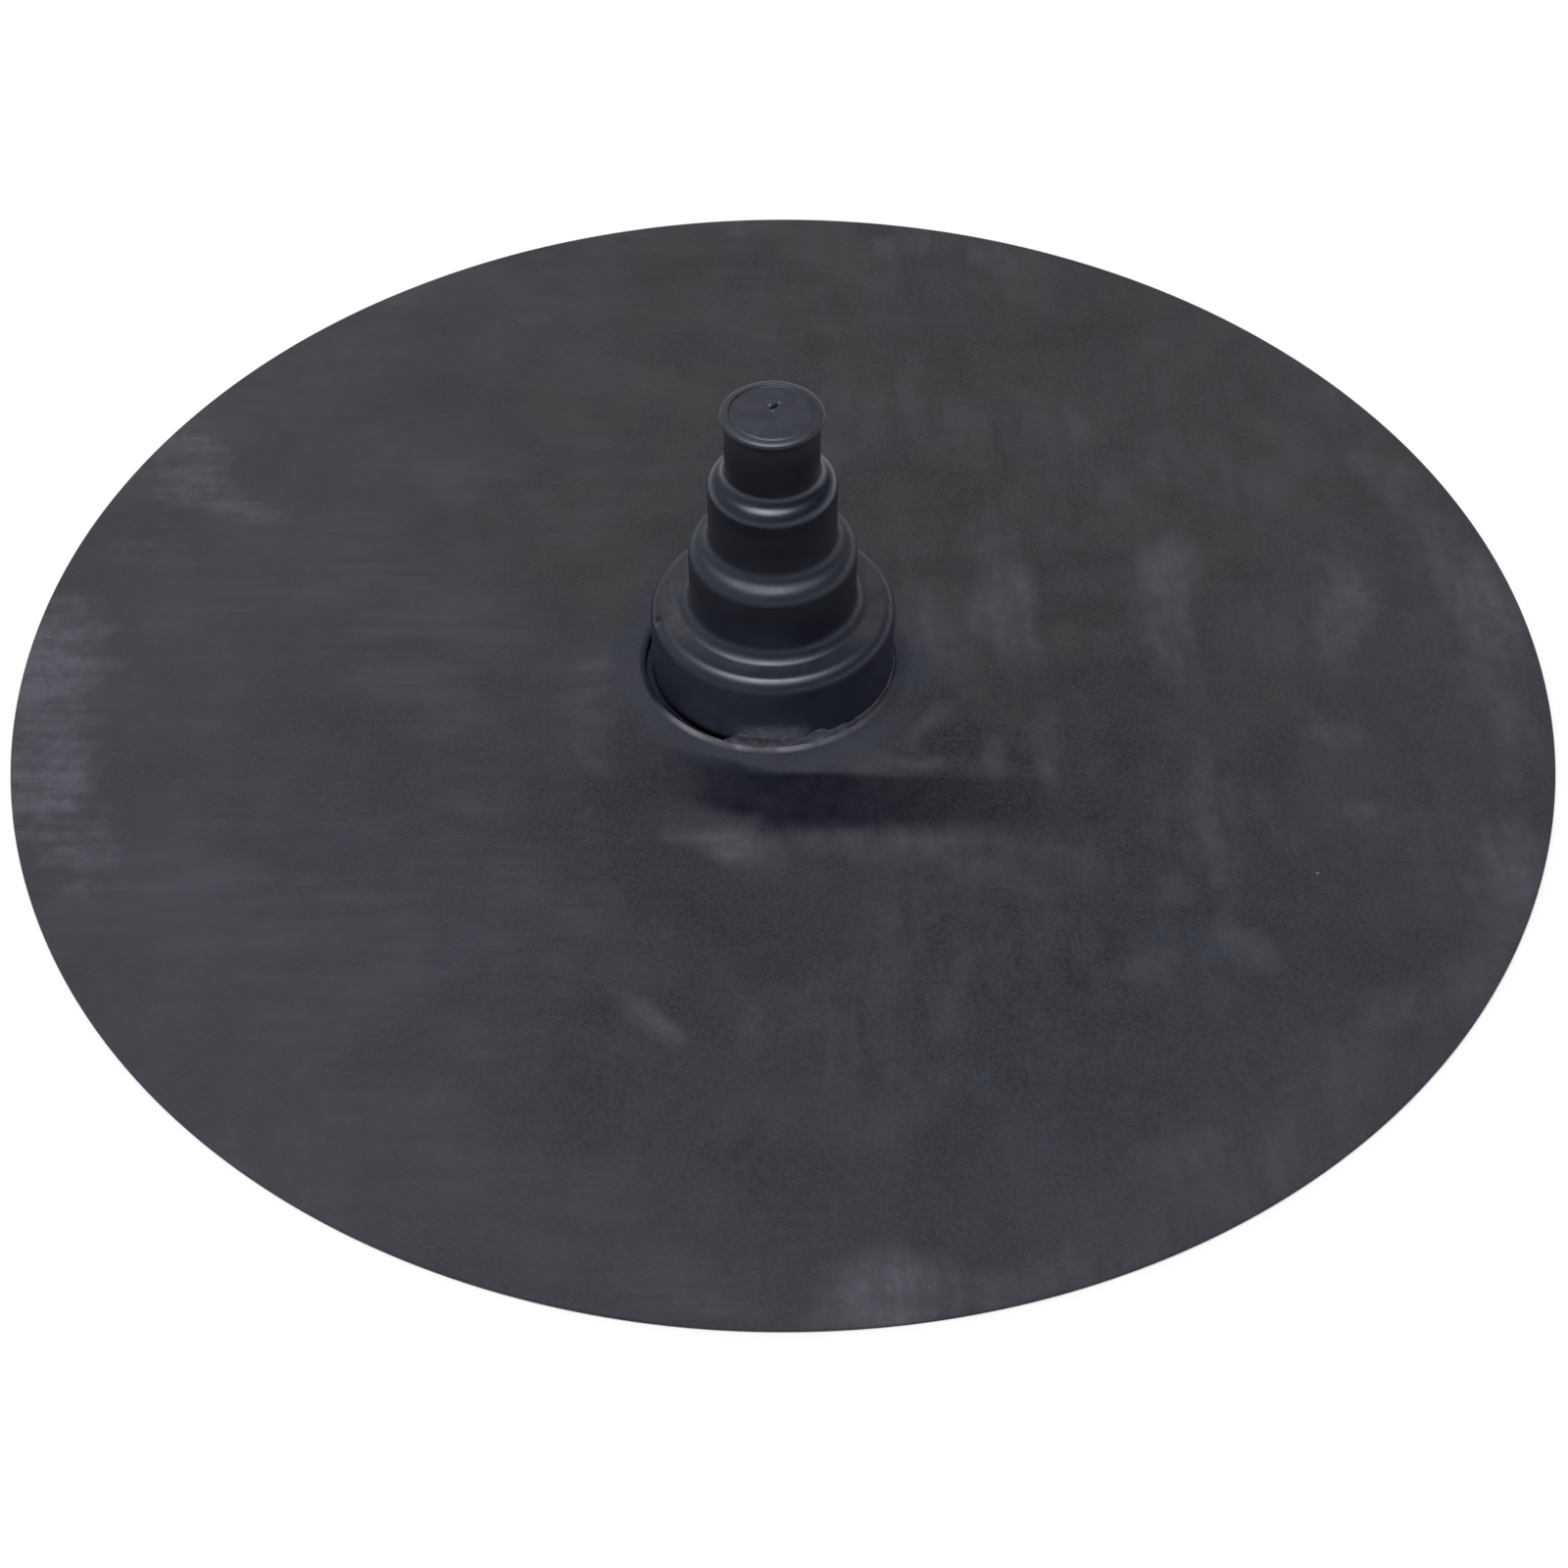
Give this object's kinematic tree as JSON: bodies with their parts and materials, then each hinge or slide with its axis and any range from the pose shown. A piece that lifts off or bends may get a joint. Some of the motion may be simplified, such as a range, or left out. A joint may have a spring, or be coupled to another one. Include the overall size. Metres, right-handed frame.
{
  "type": "stepped pipe boot",
  "caption": "Round black rubber membrane disc with a hollow stepped pipe boot rising from its middle, closed on top; seals a pipe where it passes through a flat roof.",
  "frame": {"origin": "on the pipe's axis, at the underside of the sheet, which lies on the roof; the sheet's own centre is 3.2 mm along +X", "axes": "+Z along the pipe's axis, up from the roof; -Y is the side that the picture is taken from; +X is to its right"},
  "size_m": [0.4999, 0.5, 0.1061],
  "materials": {
    "membrane_rubber": "matte calendered rubber sheet with chalky talc smears",
    "boot_rubber": "satin moulded rubber",
    "splice_tape": "matte tacky rubber tape",
    "seam_sealant": "matte tooled sealant"
  },
  "bodies": {
    "root": {"membrane_disc": "membrane_rubber", "stepped_boot": "boot_rubber", "bond_ring": "splice_tape", "sealant_bead": "seam_sealant"}
  },
  "joints": []
}
